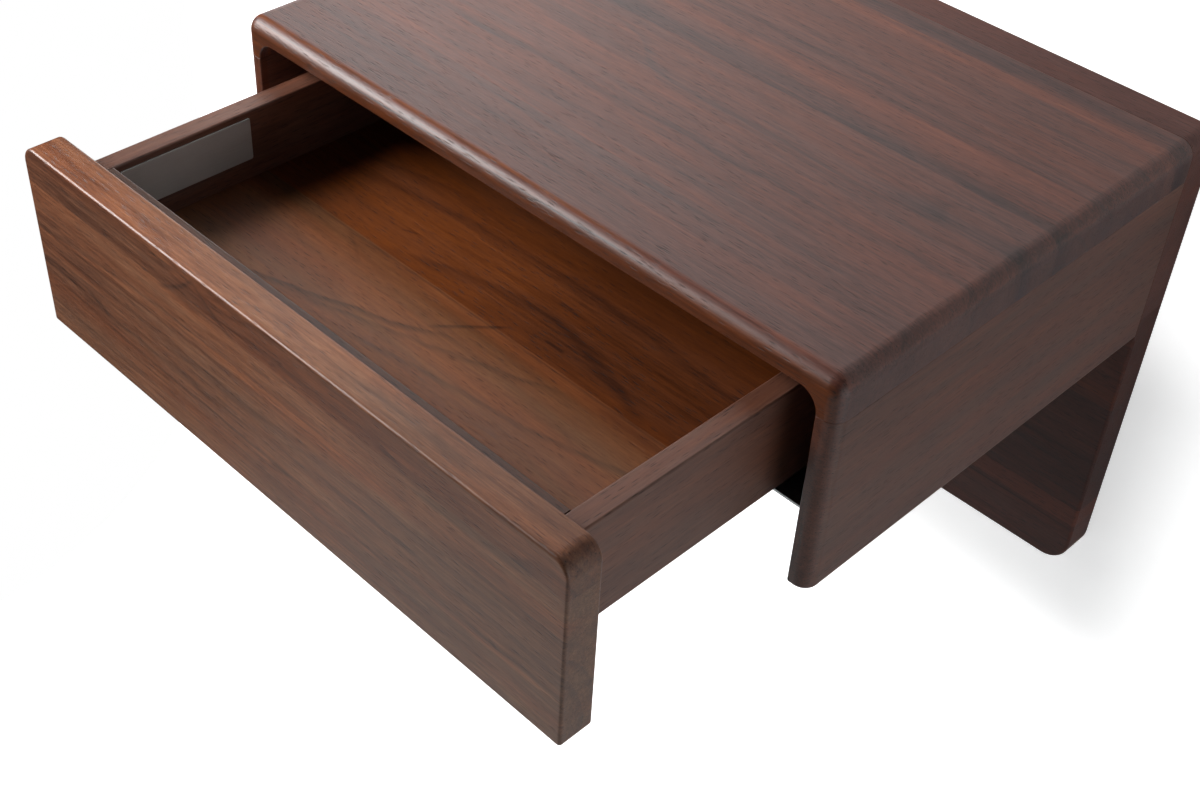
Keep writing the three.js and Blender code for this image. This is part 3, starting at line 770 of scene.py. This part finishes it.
def back_board():
    """The back panel: an outline pushed from the front face to the wall.

    Its front edge is eased only below the carcase, where it shows, and its rear edge all round. The
    ease changes between two straight corners on either side, a step apart. Two stepped pockets hold
    the hangers; the rear face round them is left open.
    """
    step, straight = 3.0, 0.5
    corners = np.array([
        (-HALF, -TOP), (HALF, -TOP), (HALF, FOOT - step), (HALF, FOOT), (HALF, TOP), (-HALF, TOP),
        (-HALF, FOOT), (-HALF, FOOT - step),
    ])
    radii = np.repeat([BACK_FOOT_CORNER, straight, TOP_CORNER, straight], 2)
    shown = np.array([BACK_EASE] * 3 + [SEAM_EASE] * 4 + [BACK_EASE])
    parts = [board("Y", corners[::-1, ::-1], radii[::-1], BACK, 0.0, shown[::-1], BACK_EASE,
                   corner_steps=CORNER_STEPS, caps=(True, False))]
    both = 2 * HANGER_GAP
    for x in HANGER_PLACES:
        seat = stadium(HANGER_WIDTH + both, HANGER_HEIGHT + both, x, HANGER_LEVEL)
        pocket = stadium(POCKET_WIDTH, POCKET_WIDTH + SLOT_LENGTH, x, HANGER_LEVEL)
        seat_depth = -HANGER_SHEET - HANGER_GAP
        rings = np.stack([
            facing_back(seat, 0.0), facing_back(seat, seat_depth), facing_back(pocket, seat_depth),
            facing_back(pocket, -POCKET_DEPTH),
        ])
        parts.append(link_rings(rings[:, ::-1], False, True))
    return parts


def fill_open_face(mesh):
    """Fills the flat region between a finished mesh's open edges, which lie in one plane."""
    work = bmesh.new()
    work.from_mesh(mesh)
    open_edges = [edge for edge in work.edges if edge.is_boundary]
    bmesh.ops.triangle_fill(work, use_beauty=True, use_dissolve=False, edges=open_edges)
    bmesh.ops.recalc_face_normals(work, faces=work.faces)
    finish_mesh(work, mesh)


back = piece("back_board", "carcase", back_board(), walnut_back)
fill_open_face(back.data)
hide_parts("back_panel")


def screw(centre, axis, sign, radius, height):
    """A pan head with a cross recess: rings from the rim to the middle, raised by a flat dome.

    The rise is the height times one minus the fourth power of the reach, and a point in either arm
    of the cross sinks by a share of the height.
    """
    reach, angle = np.meshgrid(
        np.linspace(1, 0, 15)[:-1], np.linspace(0, 2 * math.pi, 49)[:-1], indexing="ij",
    )
    u, v = reach * np.cos(angle), reach * np.sin(angle)
    arm, length, edge, sink = 0.13, 0.55, 0.10, 0.6
    level_arm = np.maximum(np.abs(u) - arm, np.abs(v) - length)
    upright_arm = np.maximum(np.abs(v) - arm, np.abs(u) - length)
    cut = np.clip(0.5 - np.minimum(level_arm, upright_arm) / edge, 0, 1)
    rise = height * (1 - reach ** 4 - cut * sink)
    first, second, out = PLANES[axis]
    points = np.empty((*u.shape, 3))
    points[..., first] = centre[first] + u * radius
    points[..., second] = centre[second] + v * radius
    points[..., out] = centre[out] + sign * rise
    foot = points[0].copy()
    foot[:, out] = centre[out] - sign * height
    return link_rings(np.concatenate([[foot], points]))


def folded(path, sheet, bend):
    """Corners and radii of a bent sheet's section from its middle line.

    Each point of the line gives two corners, half the sheet to either side along the mitre; the
    inner one has the bend's radius, the outer one the sheet more, and the sheet's ends are barely
    rounded.
    """
    path = np.asarray(path, float)
    way = np.diff(path, axis=0)
    way /= np.linalg.norm(way, axis=1)[:, None]
    before = np.vstack([way[:1], way])
    after = np.vstack([way, way[-1:]])
    left_before, left_after = to_left(before), to_left(after)
    mitre = (left_before + left_after) / (1 + (left_before * left_after).sum(1))[:, None]
    turn = cross(before, after)
    end = sheet * 0.2
    left_radii = np.where(turn > 0, bend, bend + sheet)
    right_radii = np.where(turn > 0, bend + sheet, bend)
    for radii in (left_radii, right_radii):
        radii[[0, -1]] = end
    corners = np.vstack([path - mitre * sheet / 2, (path + mitre * sheet / 2)[::-1]])
    return corners, np.concatenate([right_radii, left_radii[::-1]])


def bar(section, radii, sign, start, end):
    """A section in X and Z, right-hand or mirrored, turned anticlockwise and carried along Y."""
    corners, ease = np.array(section)[:, ::-1] * (1, sign), 0.15
    if cross(corners, np.roll(corners, -1, axis=0)).sum() < 0:
        corners, radii = corners[::-1], np.asarray(radii)[::-1]
    return board("Y", corners, radii, start, end, ease, ease, steps=2, corner_steps=5, support=0.05)


# Slides: sections of sheet steel in X and Z, for the right-hand side
SHEET, BEND, FIT = 1.5, 0.8, 0.3
TROUGH_WIDTH, TROUGH_DEPTH, TROUGH_LIP = 18.6, 8.0, 3.2
CHANNEL_LIP, BEAM_NECK, BEAM_HEAD = 3.4, 1.5, 6.0
TRACK_SCREWS, TRACK_SCREW_LEVEL = (-265.0, -155.0, -45.0), 61.0
TRACK_SCREW_RADIUS, TRACK_SCREW_HEIGHT = 3.3, 1.5
rail_low, rail_high = corners_of("right_cabinet_rail")
beam_low, beam_high = corners_of("right_middle_rail")
runner_low, runner_high = corners_of("right_drawer_runner")
foot_line = rail_low[2] + SHEET / 2
wall_top = foot_line + TROUGH_DEPTH
inner_wall = rail_low[0] + SHEET / 2
outer_wall = inner_wall + TROUGH_WIDTH
web_line = OPENING - FIT - SHEET / 2
angle_line = [(web_line, rail_high[2]), (web_line, foot_line), (inner_wall, foot_line),
              (inner_wall, wall_top), (inner_wall + TROUGH_LIP, wall_top)]
hook_line = [(outer_wall, foot_line), (outer_wall, wall_top), (outer_wall - TROUGH_LIP, wall_top)]
channel_top, channel_low = runner_high[2] - SHEET / 2, runner_low[2] + SHEET / 2
channel_left, channel_right = runner_low[0] + SHEET / 2, runner_high[0] - SHEET / 2
channel_line = [(channel_right - CHANNEL_LIP, channel_low), (channel_right, channel_low),
                (channel_right, channel_top), (channel_left, channel_top),
                (channel_left, channel_low), (channel_left + CHANNEL_LIP, channel_low)]
beam_middle = (runner_low[0] + runner_high[0]) / 2
flange = (beam_high[0] - beam_low[0]) / 2
beam_half = [
    (flange, beam_low[2]), (flange, beam_low[2] + SHEET), (BEAM_NECK, beam_low[2] + SHEET),
    (BEAM_NECK, beam_high[2] - SHEET), (BEAM_HEAD, beam_high[2] - SHEET), (BEAM_HEAD, beam_high[2]),
]
beam_section = [(beam_middle + x, z) for x, z in beam_half]
beam_section += [(beam_middle - x, z) for x, z in beam_half[::-1]]
beam_radii = [0.3, 0.3, BEND, BEND, 0.3, 0.3] * 2

# The release catch: a block under the box side, and a lever with three ribs for the finger
BLOCK_INSET, LEVER_OVERLAP, LEVER_END, LEVER_WIDTH, LEVER_SHEET = 12.0, 3.0, 3.0, 16.0, 3.0
CATCH_CORNER, RIB_WIDTH, RIB_INSET, RIB_LENGTH = 3.0, 1.0, 2.0, 8.0
RIB_DROP, RIB_ROOT, RIBS = 0.5, 1.0, (8.0, 11.5, 15.0)

for side, sign in (("right", 1), ("left", -1)):
    track = [bar(*folded(line, SHEET, BEND), sign, rail_low[1], rail_high[1])
             for line in (angle_line, hook_line)]
    made = piece(f"{side}_cabinet_track", "carcase", track, zinc_steel)
    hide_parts(f"{side}_cabinet_rail")
    heads = [screw((sign * (web_line - SHEET / 2), y, TRACK_SCREW_LEVEL), "X", -sign,
                   TRACK_SCREW_RADIUS, TRACK_SCREW_HEIGHT) for y in TRACK_SCREWS]
    piece(f"{side}_track_screws", "carcase", heads, zinc_steel)
    beam = bar(beam_section, beam_radii, sign, beam_low[1], beam_high[1])
    made = piece(f"{side}_beam", f"{side}_slide_middle", [beam], zinc_steel)
    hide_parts(f"{side}_middle_rail")
    channel = bar(*folded(channel_line, SHEET, BEND), sign, runner_low[1], runner_high[1])
    made = piece(f"{side}_runner_channel", "drawer", [channel], zinc_steel)
    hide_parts(f"{side}_drawer_runner")
    low, high = corners_of(f"{side}_release_catch")
    inner, outer = (low[0], high[0]) if sign > 0 else (high[0], low[0])
    step = inner + sign * BLOCK_INSET
    end = high[1] - LEVER_END
    block = rectangle(*sorted((step, outer)), low[1], high[1])
    lever = rectangle(*sorted((inner, step + sign * LEVER_OVERLAP)), end - LEVER_WIDTH, end)
    parts = [board("Z", block, CATCH_CORNER, low[2], high[2], 0.8, 0.3),
             board("Z", lever, CATCH_CORNER, low[2], low[2] + LEVER_SHEET, 0.6, 0.6)]
    near, far = sorted((inner + sign * RIB_INSET, inner + sign * (RIB_INSET + RIB_LENGTH)))
    for rib in RIBS:
        ridge = rectangle(near, far, high[1] - rib, high[1] - rib + RIB_WIDTH)
        parts.append(board("Z", ridge, 0.45, low[2] - RIB_DROP, low[2] + RIB_ROOT, 0.3, 0.1,
                           steps=4))
    made = piece(f"{side}_catch_lever", "drawer", parts, grey_plastic)
    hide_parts(f"{side}_release_catch")


def hanger_plate(x):
    """A keyhole plate: a closed profile, carried round by angle from the round hole's middle.

    The keyhole's radius is the hole's, or along the slot half its width over the sine of the angle,
    up to the slot's round end; the rim's is the same rule for the wider, longer round-ended plate.
    """
    turn = np.linspace(0, 2 * math.pi, 145)[:-1]
    up, aside = np.cos(turn), np.abs(np.sin(turn)).clip(1e-6)

    def round_end(centre, radius):
        return centre * up + np.sqrt((radius ** 2 - (centre * aside) ** 2).clip(0))

    slot = SLOT_HALF / aside
    slot = np.where(slot * up > SLOT_LENGTH, round_end(SLOT_LENGTH, SLOT_HALF), slot)
    inner = np.where(up > 0, np.maximum(slot, HOLE_RADIUS), HOLE_RADIUS)
    half, lift = HANGER_WIDTH / 2, SLOT_LENGTH / 2
    high, low = lift + HANGER_HEIGHT / 2 - half, lift - HANGER_HEIGHT / 2 + half
    rim = half / aside
    rim = np.where(rim * up > high, round_end(high, half),
                   np.where(rim * up < low, round_end(low, half), rim))
    ease = 0.3
    profile = [(rim, HANGER_SHEET), (rim, 2 * ease), (rim - ease, ease), (inner + ease, ease),
               (inner, 2 * ease), (inner, HANGER_SHEET), (rim, HANGER_SHEET)]
    level = HANGER_LEVEL - lift
    rings = [facing_back(np.stack([x + edge * np.sin(turn), level + edge * up], 1), -depth)
             for edge, depth in profile]
    return link_rings(np.array(rings), False, False)


for side, x in zip(("left", "right"), HANGER_PLACES):
    made = piece(f"{side}_hanger_plate", "carcase", [hanger_plate(x)], zinc_steel)
    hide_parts(f"{side}_keyhole_hanger")
    heads = [screw((x, -SCREW_DEPTH, HANGER_LEVEL + z), "Y", 1, SCREW_RADIUS, SCREW_HEIGHT)
             for z in HANGER_SCREWS]
    piece(f"{side}_hanger_screws", "carcase", heads, zinc_steel)

# The drawer front: upper corners that follow the opening's, and eased edges all round
face_low, face_high = corners_of("drawer_front")
corners = np.array(rectangle(face_low[0], face_high[0], face_low[2], face_high[2]))
radii = np.repeat([FACE_CORNER, FACE_FOOT_CORNER], 2)
face = board("Y", corners[::-1, ::-1], radii, face_low[1], face_high[1], FACE_EASE, FACE_EASE,
             corner_steps=CORNER_STEPS)
front = piece("drawer_face_board", "drawer", [face], walnut_front)
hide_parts("drawer_front")

# Pieces that keep their plain boards
for node, material in {
    "drawer_subfront": walnut_box_cross, "drawer_back": walnut_box_cross,
    "left_drawer_side": walnut_box_side, "right_drawer_side": walnut_box_side,
    "drawer_floor": walnut_floor,
    "left_corner_spline": beech, "right_corner_spline": beech,
    **{f"back_dowel_{number}": beech for number in range(1, 8)},
}.items():
    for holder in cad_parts[node].material_slots:
        holder.material = material

# The bare metal plate on the drawer's left side, its place in Y and Z
PLATE_PLACE, PLATE_CORNER, PLATE_SHEET = (-411.0, -333.5, 96.0, 120.3), 1.2, 0.8
PLATE_EASES = (0.05, 0.25)
inside = corners_of("left_drawer_side")[1][0]
plate = board("X", rectangle(*PLATE_PLACE), PLATE_CORNER, inside, inside + PLATE_SHEET,
              *PLATE_EASES, steps=4, support=0.1)
piece("side_plate", "drawer", [plate], brushed_plate)

# Studio
FOCAL_PIXELS, PHOTO_WIDTH, SENSOR = 1732.0, 1200.0, 36.0
camera = placed("camera", bpy.data.cameras.new("camera"))
bpy.context.scene.camera = camera
camera.data.sensor_fit = "HORIZONTAL"
camera.data.sensor_width = SENSOR
camera.data.lens = FOCAL_PIXELS / PHOTO_WIDTH * SENSOR
camera.data.clip_end = 50.0
forward = Vector((-0.51148, 0.55676, -0.65453)).normalized()
right = Vector((0.70599, 0.70650, 0.04927))
right = (right - forward * right.dot(forward)).normalized()
turned = Matrix((right, right.cross(forward), -forward)).transposed().to_4x4()
camera.matrix_world = Matrix.Translation((0.49521, -0.76576, 0.60304)) @ turned


def sweep():
    """Wall, cove and floor in one sheet: a profile in Y and Z carried along X.

    The wall has a hole where the back panel lies on it, so that its rear is lit from behind.
    """
    wall, floor, cove, reach = 0.8, -750.0, 300.0, -4500.0
    turn = np.linspace(0, QUARTER, 16)[1:]
    standing = [750.0, 148.0, -148.0, floor + cove]
    y = np.concatenate([np.full(4, wall), wall - cove + cove * np.cos(turn), [reach]])
    z = np.concatenate([standing, floor + cove - cove * np.sin(turn), [floor]])
    x = np.array([-750.0, -200.0, 200.0, 3500.0])
    grid = np.stack(np.broadcast_arrays(x[:, None], y, z), -1)
    index = np.arange(grid[..., 0].size).reshape(len(x), len(y))
    quads = np.stack([index[:-1, :-1], index[:-1, 1:], index[1:, 1:], index[1:, :-1]], -1)
    keep = np.ones(quads.shape[:2], bool)
    keep[1, 1] = False
    mesh = bpy.data.meshes.new("studio_sweep")
    mesh.from_pydata((grid.reshape(-1, 3) * MM).tolist(), [], quads[keep].tolist())
    mesh.shade_smooth()
    return mesh


def studio_white():
    """Matt white that shows its shadow, and is clear from behind.

    Its own light lifts it to white for the camera, less so in a box round the back panel's foot,
    which paints a darker shadow there, and it paints a pale pool of light, high on the left, that
    only the reflections see.
    """
    material, t, shader = new_material("studio_white")
    for label, value in (("Base Color", (0.88, 0.88, 0.88, 1)), ("Roughness", 0.9),
                         ("Specular IOR Level", 0.0), ("Emission Color", (1, 1, 1, 1))):
        shader.inputs[label].default_value = value
    path = t.add("LightPath", None, None).outputs
    position = t.add("TexCoord", None, "Object")
    spot = t.add("SeparateXYZ", {0: position}, None).outputs
    # A box round the back panel's foot where the camera lift is smaller: a painted shadow on the
    # wall
    middle, half, fade = (0.0, 0.0, -0.11), (0.203, 10.0, 0.08), 0.075
    beyond = t.vector("ABSOLUTE", t.vector("SUBTRACT", position, middle))
    beyond = t.vector("MAXIMUM", t.vector("SUBTRACT", beyond, half), (0.0, 0.0, 0.0))
    white = t.smooth(t.vector("LENGTH", beyond, output=1), 0.0, fade, 0.50, 0.88)
    # A painted pool of light on the wall, high on the left, seen only by glossy rays
    leftwards = t.smooth(spot["X"], -0.45, 0.20, 0.9, 0.0)
    pool = t.times(leftwards, t.smooth(spot["Z"], 0.0, 0.2))
    lift = t.times(path["Is Camera Ray"], white)
    lift = t.times(path["Is Glossy Ray"], pool, lift)
    t.feed(shader, {"Emission Strength": lift})
    clear = t.add("BsdfTransparent")
    behind = t.add("NewGeometry", None, "Backfacing")
    both = t.add("MixShader", {0: behind, 1: shader.outputs[0], 2: clear})
    t.feed(t.tree.nodes["Material Output"], {"Surface": both})
    return material


studio = placed("studio_sweep", sweep())
studio.data.materials.append(studio_white())
studio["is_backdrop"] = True

AIM = Vector((0, -0.2, 0.05))


def lamp(name, direction, distance, size, power, colour=(1, 1, 1)):
    """A square softbox that looks at the cabinet's middle from a direction and a distance."""
    made = placed(name, bpy.data.lights.new(name, "AREA"))
    made.data.shape = "SQUARE"
    made.data.size = size
    made.data.energy = power
    made.data.color = colour
    place = Vector(direction).normalized() * distance
    turned = place.to_track_quat("Z", "Y").to_matrix().to_4x4()
    made.matrix_world = Matrix.Translation(place + AIM) @ turned


lamp("key_softbox", (-0.875, -0.67, 0.63), 1.24, 0.54, 21.0)
lamp("side_fill", (1.0, -0.12, -0.05), 1.6, 1.2, 7.6, (0.92, 0.97, 1.0))
lamp("rear_softbox", (-0.5, 1.0, 0.5), 1.8, 1.4, 22.0)

# A world that is white to look at and gives little light
ROOM_LIGHT = 0.04
world = bpy.data.worlds.new("studio_world")
bpy.context.scene.world = world
world.use_nodes = True
w = Tree(world.node_tree)
path = w.add("LightPath", None, None).outputs
seen = w.math("MAXIMUM", path["Is Camera Ray"], path["Is Transmission Ray"])
strength = w.add("MapRange", {0: seen, 1: 0.0, 2: 1.0, 3: ROOM_LIGHT, 4: 1.0})
background = world.node_tree.nodes["Background"]
background.inputs["Color"].default_value = (1, 1, 1, 1)
w.feed(background, {"Strength": strength})

bpy.context.scene.view_settings.view_transform = "Standard"

low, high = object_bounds()
